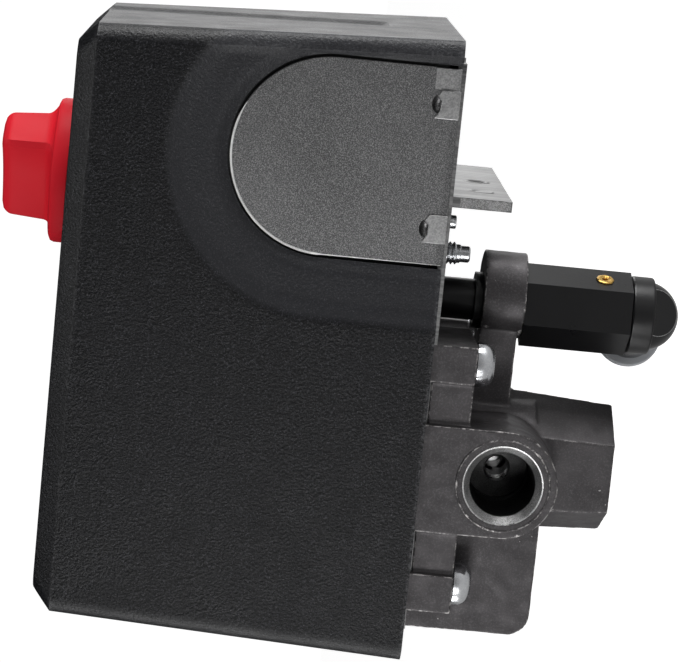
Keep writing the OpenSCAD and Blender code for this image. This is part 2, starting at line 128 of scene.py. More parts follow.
# Elbow and bleed insert of the unloader valve
DOME_R, DOME_FACET = 6.0, 4.4
FACET_FACING = (0.3, -0.87, -0.4)
FACET_CUBE = 10
BLEED_OUT = 6.3


# ---------------------------------------------------------------- materials
def new_material(name):
    mat = bpy.data.materials.new(name)
    mat.use_nodes = True
    tree = mat.node_tree
    return mat, tree, tree.nodes["Principled BSDF"]


def add(tree, kind, **values):
    node = tree.nodes.new(kind)
    for key, value in values.items():
        if key in node.inputs:
            node.inputs[key].default_value = value
        else:
            setattr(node, key, value)
    return node


def noise_at(tree, scale, detail=3.0, rough=0.5, stretch=(1, 1, 1)):
    """A noise in the object's own coordinates; scale is in cycles per metre."""
    coords = add(tree, "ShaderNodeTexCoord")
    mapping = add(tree, "ShaderNodeMapping")
    mapping.inputs["Scale"].default_value = stretch
    tex = add(tree, "ShaderNodeTexNoise")
    tex.inputs["Scale"].default_value = scale
    tex.inputs["Detail"].default_value = detail
    tex.inputs["Roughness"].default_value = rough
    tree.links.new(coords.outputs["Object"], mapping.inputs["Vector"])
    tree.links.new(mapping.outputs["Vector"], tex.inputs["Vector"])
    return tex.outputs["Fac"]


def ramp(tree, value, stops):
    node = add(tree, "ShaderNodeValToRGB")
    elements = node.color_ramp.elements
    while len(elements) < len(stops):
        elements.new(0.5)
    for element, (at, colour) in zip(elements, stops):
        element.position = at
        element.color = (*colour, 1)
    tree.links.new(value, node.inputs["Fac"])
    return node.outputs["Color"]


def spread(tree, value, low, high, start=0.3, end=0.7):
    node = add(tree, "ShaderNodeMapRange")
    for key, number in (("From Min", start), ("From Max", end), ("To Min", low), ("To Max", high)):
        node.inputs[key].default_value = number
    tree.links.new(value, node.inputs["Value"])
    return node.outputs["Result"]


def bump(tree, shader, heights):
    """Chains bumps; heights is a list of (value, distance in metres, strength)."""
    last = None
    for value, distance, strength in heights:
        node = add(tree, "ShaderNodeBump")
        node.inputs["Distance"].default_value = distance
        node.inputs["Strength"].default_value = strength
        tree.links.new(value, node.inputs["Height"])
        if last:
            tree.links.new(last, node.inputs["Normal"])
        last = node.outputs["Normal"]
    tree.links.new(last, shader.inputs["Normal"])


def mix(tree, factor, first, second):
    node = add(tree, "ShaderNodeMix", data_type="RGBA")
    for socket, value in ((node.inputs[0], factor), (node.inputs[6], first), (node.inputs[7], second)):
        if isinstance(value, tuple):
            socket.default_value = (*value, 1)
        elif isinstance(value, (int, float)):
            socket.default_value = value
        else:
            tree.links.new(value, socket)
    return node.outputs[2]


def dish_sheen_zone(tree):
    """One inside the broad dish round the arched openings and nought elsewhere: the mask of the cover's
    lighter painted sheen.
    """
    coords = add(tree, "ShaderNodeTexCoord")
    split = add(tree, "ShaderNodeSeparateXYZ")
    tree.links.new(coords.outputs["Object"], split.inputs[0])

    def sum_of(operation, first, second):
        node = add(tree, "ShaderNodeMath", operation=operation)
        for socket, value in zip(node.inputs, (first, second)):
            if isinstance(value, (int, float)):
                socket.default_value = value
            else:
                tree.links.new(value, socket)
        return node.outputs[0]

    across = sum_of("SUBTRACT", split.outputs[0], ARCH_X * MM)
    above = sum_of("MAXIMUM", sum_of("SUBTRACT", split.outputs[2], ARCH_Z * MM), 0.0)
    squares = sum_of("ADD", sum_of("MULTIPLY", across, across), sum_of("MULTIPLY", above, above))
    away = sum_of("SQRT", squares, 0.0)
    outward = sum_of("ABSOLUTE", split.outputs[1], 0.0)
    inside = spread(tree, away, 1.0, 0.0, (DISH_R - DISH_BLUR) * MM, DISH_R * MM)
    on_side = spread(tree, outward, 0.0, 1.0, SIDE_FROM * MM, (SIDE_FROM + 1) * MM)
    return sum_of("MULTIPLY", inside, on_side)


def rubbed_edges(tree, most, edge_end, scale, start, end):
    """How far sharp edges are rubbed bare, in broken patches."""
    geometry = add(tree, "ShaderNodeNewGeometry")
    rim = spread(tree, geometry.outputs["Pointiness"], 0.0, most, 0.515, edge_end)
    patch = spread(tree, noise_at(tree, scale, 4, 0.7), 0.0, 1.0, start, end)
    rubbed = add(tree, "ShaderNodeMath", operation="MULTIPLY")
    tree.links.new(rim, rubbed.inputs[0])
    tree.links.new(patch, rubbed.inputs[1])
    return rubbed.outputs[0]


def plastic(name, dark, light, rough, grain, grain_depth, specular=0.5, worn=None, dish=None, grainy=None):
    """Moulded plastic: two close tones, an uneven sheen and a fine grain.

    worn, dish and grainy are the colours of rubbed edges, of a painted sheen over the dish round the openings
    (a lighter tone standing for the light its slopes catch) and of pale specks.
    """
    mat, tree, shader = new_material(name)
    shader.inputs["Specular IOR Level"].default_value = specular
    tone = noise_at(tree, 60, 4)
    fine = noise_at(tree, grain, 2, 0.6)
    base = ramp(tree, tone, [(0.3, dark), (0.7, light)])
    # Painted sheen: the dish round the openings gets a lighter colour for the light its slopes catch.
    if dish:
        base = mix(tree, dish_sheen_zone(tree), base, dish)
    if grainy:
        speck = spread(tree, noise_at(tree, grain * 1.7, 3, 0.9), 0.0, 1.0, 0.54, 0.7)
        base = mix(tree, speck, base, grainy)
    if worn:
        base = mix(tree, rubbed_edges(tree, 0.7, 0.56, 1600, 0.45, 0.62), base, worn)
    tree.links.new(base, shader.inputs["Base Color"])
    sheen = spread(tree, noise_at(tree, 140, 5), rough - 0.05, rough + 0.06)
    tree.links.new(sheen, shader.inputs["Roughness"])
    bump(tree, shader, [(fine, grain_depth, 0.6), (noise_at(tree, 180, 3), 0.00003, 0.25)])
    return mat


def metal(name, dark, light, rough, scale=500, stretch=(1, 1, 1), depth=0.00002, metallic=1.0, speck=0.4):
    """Plated or cut metal: blotchy tone, fine specks and small pits."""
    mat, tree, shader = new_material(name)
    shader.inputs["Metallic"].default_value = metallic
    blotch = noise_at(tree, scale * 0.12, 4, 0.6)
    fine = noise_at(tree, scale * 4, 3, 0.7, stretch)
    base = ramp(tree, blotch, [(0.3, dark), (0.72, light)])
    glint = tuple(min(1, c * 1.6) for c in light)
    specked = mix(tree, spread(tree, fine, 0.0, speck, 0.42, 0.62), base, glint)
    tree.links.new(specked, shader.inputs["Base Color"])
    tree.links.new(spread(tree, noise_at(tree, scale, 4, 0.6, stretch), rough - 0.08, rough + 0.1),
                   shader.inputs["Roughness"])
    bump(tree, shader, [(fine, depth, 0.5), (noise_at(tree, scale * 0.5, 4), depth * 2, 0.3)])
    return mat


def sheet_steel(name):
    """Zinc plated sheet: even grey with a fine, sparkling grain."""
    mat, tree, shader = new_material(name)
    shader.inputs["Metallic"].default_value = 1.0
    shade = ramp(tree, noise_at(tree, 45, 3), [(0.3, (0.09, 0.09, 0.092)), (0.7, (0.125, 0.125, 0.128))])
    grain = noise_at(tree, 5600, 2, 0.8)
    base = mix(tree, spread(tree, grain, 0.0, 1.0, 0.46, 0.68), shade, (0.37, 0.37, 0.37))
    tree.links.new(base, shader.inputs["Base Color"])
    tree.links.new(spread(tree, noise_at(tree, 220, 3), 0.4, 0.5), shader.inputs["Roughness"])
    bump(tree, shader, [(grain, 0.00003, 0.5)])
    return mat


def cast_metal(name):
    """Rough dark die casting with bright worn edges and a few small nicks."""
    mat, tree, shader = new_material(name)
    shader.inputs["Metallic"].default_value = 0.6
    tones = [(0.3, (0.044, 0.041, 0.043)), (0.7, (0.074, 0.069, 0.072))]
    blotch = ramp(tree, noise_at(tree, 90, 5, 0.6), tones)
    fleck = spread(tree, noise_at(tree, 3000, 3, 0.8), 0.0, 0.5, 0.5, 0.72)
    base = mix(tree, fleck, blotch, (0.16, 0.155, 0.158))
    nick = spread(tree, noise_at(tree, 800, 2, 0.5), 0.0, 0.9, 0.765, 0.785)
    base = mix(tree, nick, base, (0.5, 0.49, 0.48))
    base = mix(tree, rubbed_edges(tree, 1.0, 0.555, 1100, 0.47, 0.6), base, (0.6, 0.58, 0.57))
    tree.links.new(base, shader.inputs["Base Color"])
    tree.links.new(spread(tree, noise_at(tree, 400, 5), 0.4, 0.58), shader.inputs["Roughness"])
    bump(tree, shader, [(noise_at(tree, 2200, 4, 0.65), 0.00004, 0.5),
                        (noise_at(tree, 260, 4), 0.00012, 0.35)])
    return mat


MATERIALS = {
    # The cover's dish colour is lighter than its body: a painted sheen for the light the dish's slopes catch.
    "cover": plastic("cover_abs", (0.0007, 0.0008, 0.0013), (0.0014, 0.0016, 0.0024),
                     0.43, 2300, 0.00021, 0.24,
                     worn=(0.09, 0.09, 0.095), dish=(0.018, 0.0184, 0.021), grainy=(0.066, 0.067, 0.076)),
    "knob": plastic("knob_abs", (0.55, 0.008, 0.018), (0.62, 0.014, 0.026), 0.52, 900, 0.00001, 0.12),
    "inner_plastic": plastic("nylon", (0.62, 0.58, 0.5), (0.7, 0.66, 0.58), 0.45, 900, 0.00001),
    "zinc_steel": sheet_steel("zinc_steel"),
    "brushed_steel": metal("brushed_zinc", (0.09, 0.09, 0.092), (0.21, 0.21, 0.21),
                           0.38, 700, (1, 1, 0.06), speck=0.6),
    "burnished": metal("burnished_zinc", (0.24, 0.24, 0.243), (0.36, 0.36, 0.36), 0.42, 900, speck=0.5),
    "bright_steel": metal("bright_zinc", (0.5, 0.51, 0.53), (0.68, 0.69, 0.71),
                          0.2, 600, speck=0.2, depth=0.00001),
    "casting": cast_metal("die_casting"),
    "brass": metal("brass", (0.5, 0.29, 0.07), (0.78, 0.5, 0.15), 0.28, 600, speck=0.15),
    "copper": metal("copper", (0.5, 0.25, 0.14), (0.7, 0.4, 0.25), 0.3, 600, speck=0.15),
    "black_plastic": plastic("black_nylon", (0.002, 0.002, 0.0025), (0.0032, 0.0032, 0.0038),
                             0.32, 1500, 0.00002, 0.4),
    "gloss_black": plastic("gloss_nylon", (0.002, 0.002, 0.0025), (0.003, 0.003, 0.0036),
                           0.2, 1500, 0.000008),
    "grey_plastic": plastic("grey_nylon", (0.33, 0.34, 0.36), (0.4, 0.41, 0.43), 0.4, 1200, 0.00001),
    "rubber": plastic("rubber", (0.008, 0.008, 0.008), (0.013, 0.013, 0.013), 0.7, 1200, 0.00003),
    "pressed_aluminium": metal("pressed_aluminium", (0.6, 0.6, 0.61), (0.75, 0.75, 0.76), 0.32, 500),
    "machined": metal("machined_bore", (0.3, 0.3, 0.3), (0.5, 0.5, 0.5), 0.3, 900, depth=0.00004),
    "chamfer": metal("cut_chamfer", (0.12, 0.12, 0.12), (0.34, 0.34, 0.34),
                     0.42, 1900, depth=0.00006, speck=0.9),
    # A pale metal for the bead on the side plates' arch: a painted highlight on the sheet's edge.
    "worn_edge": metal("worn_edge", (0.62, 0.62, 0.61), (0.85, 0.85, 0.84),
                       0.4, 1200, metallic=0.25, speck=0.3),
    "bore": metal("tapped_bore", (0.03, 0.03, 0.03), (0.09, 0.09, 0.09), 0.4, 1800, depth=0.00006, speck=0.5),
    "sheared": metal("sheared_edge", (0.05, 0.05, 0.052), (0.3, 0.3, 0.3),
                     0.4, 1500, depth=0.0001, speck=0.8),
}
SLOT_OF = {row["node"]: row["material_slot"] for row in frame["record"]["subparts"]}
BODY_OF = {node: body for body, nodes in frame["record"]["behaviour"]["bodies"].items() for node in nodes}


def dress(obj, look):
    obj.data.materials.clear()
    obj.data.materials.append(MATERIALS[look])


# ---------------------------------------------------------------- shared mesh work
def link(name, mesh, node, look=None, replaces=False):
    """Puts a mesh in the scene as a piece that rides on a CAD node's body."""
    obj = bpy.data.objects.new(name, mesh)
    bpy.context.scene.collection.objects.link(obj)
    dress(obj, look or SLOT_OF[node])
    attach(obj, BODY_OF[node])
    if replaces:
        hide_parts(node)
    return obj


def mesh_from(name, bm, matrix=None):
    """Writes a bmesh, in millimetres, out as a mesh in metres."""
    if matrix:
        bmesh.ops.transform(bm, matrix=matrix, verts=bm.verts)
    bmesh.ops.scale(bm, vec=(MM, MM, MM), verts=bm.verts)
    bmesh.ops.recalc_face_normals(bm, faces=bm.faces)
    mesh = bpy.data.meshes.new(name)
    bm.to_mesh(mesh)
    bm.free()
    return mesh


def cad_mesh(node, name):
    """A clean copy of a node's mesh: doubles merged and flat faces dissolved into polygons."""
    mesh = frame["nodes"][node].data.copy()
    mesh.name = name
    bm = bmesh.new()
    bm.from_mesh(mesh)
    bmesh.ops.remove_doubles(bm, verts=bm.verts, dist=0.002 * MM)
    bmesh.ops.dissolve_limit(bm, angle_limit=math.radians(0.6), verts=bm.verts, edges=bm.edges)
    bm.to_mesh(mesh)
    bm.free()
    return mesh


def smooth(obj, angle=35, weighted=False):
    for poly in obj.data.polygons:
        poly.use_smooth = True
    obj.data.set_sharp_from_angle(angle=math.radians(angle))
    if weighted:
        mod = obj.modifiers.new("even", "WEIGHTED_NORMAL")
        mod.keep_sharp = True
        mod.weight = 100


def apply_modifiers(obj):
    depsgraph = bpy.context.evaluated_depsgraph_get()
    mesh = bpy.data.meshes.new_from_object(obj.evaluated_get(depsgraph))
    mats = list(obj.data.materials)
    obj.modifiers.clear()
    obj.data = mesh
    obj.data.materials.clear()
    for mat in mats:
        obj.data.materials.append(mat)


def rounded(obj, width, segments=2, angle=32):
    mod = obj.modifiers.new("round", "BEVEL")
    mod.width = width * MM
    mod.segments = segments
    mod.limit_method = "ANGLE"
    mod.angle_limit = math.radians(angle)
    mod.use_clamp_overlap = True
    apply_modifiers(obj)
    smooth(obj, 50, True)
    return obj


def softened(node, width=0.25, segments=2, angle=32, look=None):
    """Stands for a CAD node, with its edges rounded by the given width in millimetres."""
    obj = link(node + "_skin", cad_mesh(node, node + "_skin"), node, look, True)
    return rounded(obj, width, segments, angle)


def shake(obj, depth, scale, seed=0.0):
    """Moves each point a little along its normal, by a smooth noise."""
    mesh = obj.data
    normals = [v.normal.copy() for v in mesh.vertices]
    shift = Vector((seed, seed, seed))
    for vert, normal in zip(mesh.vertices, normals):
        vert.co += normal * (noise.noise(vert.co * scale + shift) - 0.5) * depth


def cut(obj, tools):
    """Cuts the tools' shapes out of obj and removes the tools."""
    for cutter in tools:
        mod = obj.modifiers.new("cut", "BOOLEAN")
        mod.operation = "DIFFERENCE"
        mod.solver = "MANIFOLD"
        mod.object = cutter
    apply_modifiers(obj)
    for cutter in tools:
        bpy.data.objects.remove(cutter)


def tool(name, bm, matrix=None):
    """A cutting shape for cut(), which removes it again."""
    obj = bpy.data.objects.new(name, mesh_from(name, bm, matrix))
    bpy.context.scene.collection.objects.link(obj)
    bpy.context.view_layer.update()
    return obj


def lathe(profile, steps=64, closed=False, bm=None, matrix=None):
    """Turns a profile of (radius, height) points round Z; a point on the axis closes its end."""
    bm = bm or bmesh.new()
    matrix = matrix or Matrix.Identity(4)
    angles = [2 * math.pi * i / steps for i in range(steps)]
    rings = []
    for radius, height in profile:
        if radius < 1e-6:
            points = [(0, 0, height)]
        else:
            points = [(radius * math.cos(a), radius * math.sin(a), height) for a in angles]
        rings.append([bm.verts.new(matrix @ Vector(point)) for point in points])
    pairs = list(zip(rings, rings[1:]))
    if closed:
        pairs.append((rings[-1], rings[0]))
    for low, high in pairs:
        for i in range(steps):
            j = (i + 1) % steps
            corners = [low[i % len(low)], low[j % len(low)], high[j % len(high)], high[i % len(high)]]
            corners = [c for k, c in enumerate(corners) if c not in corners[:k]]
            if len(corners) > 2:
                bm.faces.new(corners)
    return bm


def along(at, direction):
    """A matrix that stands Z 0 at a point, in millimetres, and turns +Z to a direction."""
    return Matrix.Translation(Vector(at)) @ Vector(direction).to_track_quat("Z", "Y").to_matrix().to_4x4()


def slab(outline, low, high, bm=None):
    """A prism over an outline in the XZ plane, from Y low to Y high."""
    bm = bm or bmesh.new()
    near = [bm.verts.new((x, low, z)) for x, z in outline]
    far = [bm.verts.new((x, high, z)) for x, z in outline]
    bm.faces.new(near)
    bm.faces.new(far[::-1])
    for i in range(len(near)):
        j = (i + 1) % len(near)
        bm.faces.new([near[i], far[i], far[j], near[j]])
    return bm


def arc(cx, cz, radius, start, end, steps):
    angles = [math.radians(start + (end - start) * i / steps) for i in range(steps + 1)]
    return [(cx + radius * math.cos(a), cz + radius * math.sin(a)) for a in angles]


def join_rings(bm, rings):
    """Faces between each closed ring of points and the next."""
    for low, high in zip(rings, rings[1:]):
        for i in range(len(low)):
            j = (i + 1) % len(low)
            bm.faces.new([low[i], low[j], high[j], high[i]])


# ---------------------------------------------------------------- cover
def ease(t):
    t = min(1.0, max(0.0, t))
    return t * t * (3 - 2 * t)


def cover_section(z):
    """Centre, half length, half depth of the cover's outline at a height, with the rounded top bevel."""
    rim, top = COVER_LOW.z, COVER_HIGH.z
    shoulder = top - TOP_BEVEL
    inward = (min(z, shoulder) - rim) * DRAFT
    if z > shoulder:
        t = (z - shoulder) / TOP_BEVEL
        inward += TOP_BEVEL * (0.94 * t + 0.06 * (1 - math.sqrt(max(0.0, 1 - t * t))))
    centre = (COVER_LOW.x + COVER_HIGH.x) / 2 - LEAN * (z - rim) / (shoulder - rim)
    return centre, (COVER_HIGH.x - COVER_LOW.x) / 2 - inward, (COVER_HIGH.y - COVER_LOW.y) / 2 - inward


def side_points(length, depth):
    """The outline of one level, as points that run round it: straight sides and rounded bevels."""
    corners = [(1, -1), (1, 1), (-1, 1), (-1, -1)]

    def on_corner(k, degrees):
        sx, sy = corners[k % 4]
        a = math.radians(degrees)
        return Vector((sx * (length - EDGE_BEVEL) + EDGE_BEVEL * math.cos(a),
                       sy * (depth - EDGE_BEVEL) + EDGE_BEVEL * math.sin(a)))

    points = []
    for k in range(4):
        start = -90 + 90 * k
        first, last = on_corner(k, start), on_corner(k, start + 90)
        for i in range(CORNER_COLUMNS + 1):
            t = i / CORNER_COLUMNS
            points.append(first.lerp(last, t) * 0.45 + on_corner(k, start + 90 * i / CORNER_COLUMNS) * 0.55)
        after = on_corner(k + 1, start + 90)
        count = SHORT_COLUMNS if k in (0, 2) else LONG_COLUMNS
        points += [last.lerp(after, i / count) for i in range(1, count)]
    return points


def dish_depth(x, z):
    """How far the side is pressed in at a point: a lip at the opening, a slope and the dish's rim."""
    away = math.hypot(x - ARCH_X, max(0.0, z - ARCH_Z))
    t = (away - OPENING_R) / (DISH_R - OPENING_R)
    if t >= 1:
        return 0.0
    t = max(t, 0.0)
    lip, rim = 1 - ease(t / 0.22), 1 - ease((t - 0.66) / 0.34)
    return DISH_DEEP * (DISH_LIP * lip + DISH_SLOPE * (1 - t) + DISH_RIM * rim)


def groove_depth(y, z):
    """How far the +X end is stepped back, behind a line that slants along it."""
    above = z - COVER_LOW.z - GROOVE_FOOT
    t = above / (COVER_HIGH.z - COVER_LOW.z - GROOVE_FOOT - GROOVE_HEAD)
    if t < 0 or t > 1:
        return 0.0
    line = GROOVE_FROM + GROOVE_SLANT * t
    return GROOVE_DEEP * ease((y - line) / 1.1) * ease((line + GROOVE_WIDE - y) / 3) * ease(above / 1.2)


def cover_shell():
    """The cover as one closed shell: the pressed outer skin, the plain inner one and the rim between them."""
    bm = bmesh.new()
    rim, top = COVER_LOW.z, COVER_HIGH.z
    shoulder = top - TOP_BEVEL
    heights = [rim + (shoulder - rim) * i / COVER_ROWS for i in range(COVER_ROWS + 1)]
    heights += [shoulder + TOP_BEVEL * t for t in (0.12, 0.25, 0.4, 0.55, 0.7, 0.82, 0.91, 0.97, 1.0)]
    outer = []
    for z in heights:
        centre, length, depth = cover_section(z)
        ring = []
        for p in side_points(length, depth):
            x, y = p.x, p.y
            if abs(y) > depth - 0.001:
                fade = ease((length - EDGE_BEVEL + 1.2 - abs(x)) / 2.4)
                y -= math.copysign(dish_depth(x + centre, z) * fade, y)
            elif abs(y) > depth - EDGE_BEVEL and x > 0:
                fade = 0.5 * ease((abs(y) - depth + EDGE_BEVEL) / EDGE_BEVEL)
                y -= math.copysign(dish_depth(x + centre, z) * fade, y)
            if x > length - 0.001:
                x -= groove_depth(y, z)
            ring.append(bm.verts.new((x + centre, y, z)))
        outer.append(ring)
    join_rings(bm, outer)
    bm.faces.new(outer[-1])
    inner = []
    for z in (rim, rim + 0.45 * (shoulder - rim), shoulder - WALL, top - WALL):
        centre, length, depth = cover_section(z + (WALL if z > rim + 1 else 0))
        if z > top - WALL - 0.01:
            centre, length, depth = cover_section(top - 0.2)
        inner.append([bm.verts.new((p.x + centre, p.y, z)) for p in side_points(length - WALL, depth - WALL)])
    for low, high in zip(inner, inner[1:]):
        join_rings(bm, [high, low])
    bm.faces.new(inner[-1][::-1])
    join_rings(bm, [inner[0], outer[0]])
    return bm


def make_cover():
    """The cover's skin, with its openings cut through, and the bosses and ribs inside it."""
    rim, top = COVER_LOW.z, COVER_HIGH.z
    cover = link("cover_skin", mesh_from("cover_skin", cover_shell()), "cover", replaces=True)

    opening = arc(ARCH_X, ARCH_Z, OPENING_R, 0, 180, 72)
    opening += [(ARCH_X - OPENING_R, rim - 3), (ARCH_X + OPENING_R, rim - 3)]
    tools = [tool("arch_tool", slab(opening, COVER_LOW.y - 3, COVER_HIGH.y + 3))]
    knob_low, knob_high = box_mm("knob")
    shaft_at = along(((knob_low.x + knob_high.x) / 2, 0, top), (0, 0, 1))
    shaft_hole = [(0, -9), (SHAFT_HOLE, -9), (SHAFT_HOLE, 3), (0, 3)]
    tools.append(tool("shaft_tool", lathe(shaft_hole, matrix=shaft_at)))
    low, high = box_mm("cover_screws")
    screws_at = [along(((low.x + high.x) / 2, side * (high.y - COVER_SCREW_HEAD), top), (0, 0, 1))
                 for side in (-1, 1)]
    recess = [(0, -9), (COVER_SCREW_HOLE, -9), (COVER_SCREW_HOLE, -3.6), (4.1, -3.6), (4.4, -3.3),
              (4.4, -0.5), (4.9, 0), (4.9, 2), (0, 2)]
    for place in screws_at:
        tools.append(tool("recess_tool", lathe(recess, matrix=place)))
    cut(cover, tools)
    smooth(cover, 24)

    bosses = bmesh.new()
    for place, bore, wide, foot in [(shaft_at, SHAFT_BOSS, 7, -13.2)] + [
            (place, COVER_SCREW_HOLE, 5.6, -9.2) for place in screws_at]:
        lathe([(bore, foot), (wide, foot), (wide, -WALL + 0.3), (bore, -WALL + 0.3)], closed=True, bm=bosses,
              matrix=place)
    rib_half = 1.2
    for side in (-1, 1):
        ring = arc(ARCH_X, ARCH_Z, ARCH_R + rib_half, 0, 180, 36)
        ring += arc(ARCH_X, ARCH_Z, ARCH_R - rib_half, 180, 0, 36)
        near, far = sorted((side * 25.7, side * 24.9))
        slab(ring, near, far, bosses)
        for x in (ARCH_X - ARCH_R, ARCH_X + ARCH_R):
            x0, x1 = x - rib_half, x + rib_half
            slab([(x0, rim + 2), (x1, rim + 2), (x1, ARCH_Z), (x0, ARCH_Z)], near, far, bosses)
    boss = link("cover_bosses", mesh_from("cover_bosses", bosses), "cover", "black_plastic")
    smooth(boss, 40)


# ---------------------------------------------------------------- knob
def wing_ring(bm, z, tip):
    """One level of the wing: pinched in the middle, flared at its foot and crowned at its tip."""
    risen = z - KNOB_DISC + WING_SINK
    t = risen / (tip - KNOB_DISC + WING_SINK)
    over = max(0.0, z - (tip - WING_CROWN)) / WING_CROWN
    shrink = WING_CROWN * 0.75 * (1 - math.sqrt(max(0.0, 1 - over * over)))
    flare = WING_FLARE * max(0.0, 1 - risen / WING_FOOT) ** 2
    length = WING_HALF - 0.55 * t - shrink + flare * 0.6
    ring = []
    steps = 20
    for side in (-1, 1):
        for i in range(steps + 1):
            x = side * length * (2 * i / steps - 1)
            bow = (x / WING_HALF) ** 2
            half = WING_WAIST + (WING_TIP - WING_WAIST) * bow ** 0.9 - 0.25 * t - shrink + flare
            edge = max(0.0, abs(x) - (length - WING_CORNER)) / WING_CORNER
            half -= 1 - math.sqrt(max(0.0, 1 - edge * edge))
            ring.append(bm.verts.new((x, side * half, z)))
    return ring


def make_knob():
    low, high = box_mm("knob")
    cx, radius, base = (low.x + high.x) / 2, (high.x - low.x) / 2, low.z
    place = along((cx, 0, base), (0, 0, 1))
    section = [(radius - 0.5, 0), (radius, 0.45), (radius, KNOB_DISC - 0.9), (radius - 0.25, KNOB_DISC - 0.3),
               (radius - 0.9, KNOB_DISC), (KNOB_BORE, KNOB_DISC), (KNOB_BORE, 0)]
    bm = lathe(section, 96, closed=True, matrix=place)
    smooth(link("knob_disc", mesh_from("knob_disc", bm), "knob", replaces=True), 40)

    bm = bmesh.new()
    rows, foot, tip = 30, KNOB_DISC - WING_SINK, high.z - base
    rings = [wing_ring(bm, foot + (tip - foot) * k / rows, tip) for k in range(rows + 1)]
    join_rings(bm, rings)
    bm.faces.new(rings[-1])
    bm.faces.new(rings[0][::-1])
    turn = (Matrix.Translation(Vector((cx + WING_SHIFT, 0, base)))
            @ Matrix.Rotation(math.radians(WING_TURN), 4, "Z"))
    smooth(link("knob_grip", mesh_from("knob_grip", bm, turn), "knob"), 45)

    socket = lathe([(KNOB_BORE, 0.05), (KNOB_BORE, 2.4), (0, 2.4)], 48, matrix=place)
    link("knob_socket", mesh_from("knob_socket", socket), "knob")


# ---------------------------------------------------------------- steel sheet
def make_side_plate(node, side):
    """The arched sheet, its dented feet with a stake over each, its notched corner and a pale bead along part
    of its arch as a painted highlight.
    """
    low, high = box_mm(node)
    proud = low.y if side < 0 else high.y
    face = side * (abs(proud) - STAKE_PROUD)
    inner = side * (abs(face) - SHEET)
    foot = low.z
    notch_x, right = ARCH_X + NOTCH_X, ARCH_X + ARCH_R
    stakes_at = (ARCH_X - STAKE_X, ARCH_X + STAKE_X)
    outline = arc(ARCH_X, ARCH_Z, ARCH_R, 0, 180, 72)
    outline += [(ARCH_X - ARCH_R, foot), (notch_x, foot), (notch_x, foot + NOTCH_H), (right, foot + NOTCH_H)]
    bm = slab(outline, *sorted((face, inner)))
    roll_feet(bm, foot, side, face)
    plate = link(node + "_skin", mesh_from(node + "_skin", bm), node, replaces=True)
    mod = plate.modifiers.new("round", "BEVEL")
    mod.width, mod.segments, mod.limit_method = 0.16 * MM, 2, "ANGLE"
    apply_modifiers(plate)
    dents = []
    for x in stakes_at:
        bm = bmesh.new()
        bmesh.ops.create_icosphere(bm, subdivisions=4, radius=1.7)
        at = Matrix.Translation(Vector((x, face + side * 0.8, foot + 3.5)))
        dents.append(tool("dent_tool", bm, at @ Matrix.Diagonal((1, 1, 0.7, 1))))
    cut(plate, dents)
    smooth(plate, 30, True)

    bm = bmesh.new()
    shape = ((-2.35, 0), (2.35, 0), (2.3, 3.1), (1.3, 3.7), (0.5, 3.0), (-1.0, 3.1), (-1.6, 3.5), (-2.35, 4))
    for x in stakes_at:
        slab([(x + dx, foot + dz) for dx, dz in shape], *sorted((face, side * abs(proud))), bm)
    stakes = link(node + "_stakes", mesh_from(node + "_stakes", bm), node, "burnished")
    rounded(stakes, 0.13, 2, 30)

    back = side * (abs(face) - FLANGE_BACK)
    corner = [(notch_x - 0.3, foot + 0.1), (right - 0.1, foot + 0.1),
              (right - 0.1, foot + NOTCH_H + 0.3), (notch_x - 0.3, foot + NOTCH_H + 0.3)]
    bm = slab(corner, *sorted((back, inner)))
    roll_feet(bm, foot, side, back)
    flange = link(node + "_flange", mesh_from(node + "_flange", bm), node, "burnished")
    rounded(flange, 0.15, 2, 30)

    # A pale bead only from the arch's upper left round to the foot, where the edge catches the light: a
    # painted highlight.
    rim = arc(ARCH_X, ARCH_Z, ARCH_R - 0.1, 62, 180, 60) + [(ARCH_X - ARCH_R + 0.1, foot + 0.4)]
    edge = link(node + "_edge", mesh_from(node + "_edge", bead(rim, face, 0.2)), node, "worn_edge")
    smooth(edge, 60)


def roll_feet(bm, foot, side, face):
    """Rolls the plate's outer face inwards over its last stretch above the foot."""
    reach = FOOT_STEPS[-1]
    for step in FOOT_STEPS:
        geom = list(bm.verts) + list(bm.edges) + list(bm.faces)
        bmesh.ops.bisect_plane(bm, geom=geom, plane_co=(0, 0, foot + step), plane_no=(0, 0, 1))
    for vert in bm.verts:
        if abs(vert.co.y - face) < 0.01 and vert.co.z < foot + reach:
            drop = (foot + reach - vert.co.z) / reach
            vert.co.y -= side * FOOT_ROLL * drop * drop


def bead(path, y, radius, sides=6):
    """A thin round bead along a path in the XZ plane."""
    bm = bmesh.new()
    rings = []
    for i, point in enumerate(path):
        before, after = path[max(0, i - 1)], path[min(len(path) - 1, i + 1)]
        run = Vector((after[0] - before[0], 0, after[1] - before[1])).normalized()
        across = Vector((run.z, 0, -run.x))
        grow = radius * min(1.0, 0.2 + i / 8, 0.2 + (len(path) - 1 - i) / 3)
        at = Vector((point[0], y, point[1]))
        angles = [2 * math.pi * k / sides for k in range(sides)]
        rings.append([bm.verts.new(at + across * grow * math.cos(a) + Vector((0, grow * math.sin(a), 0)))
                      for a in angles])
    join_rings(bm, rings)
    bm.faces.new(rings[0][::-1])
    bm.faces.new(rings[-1])
    return bm


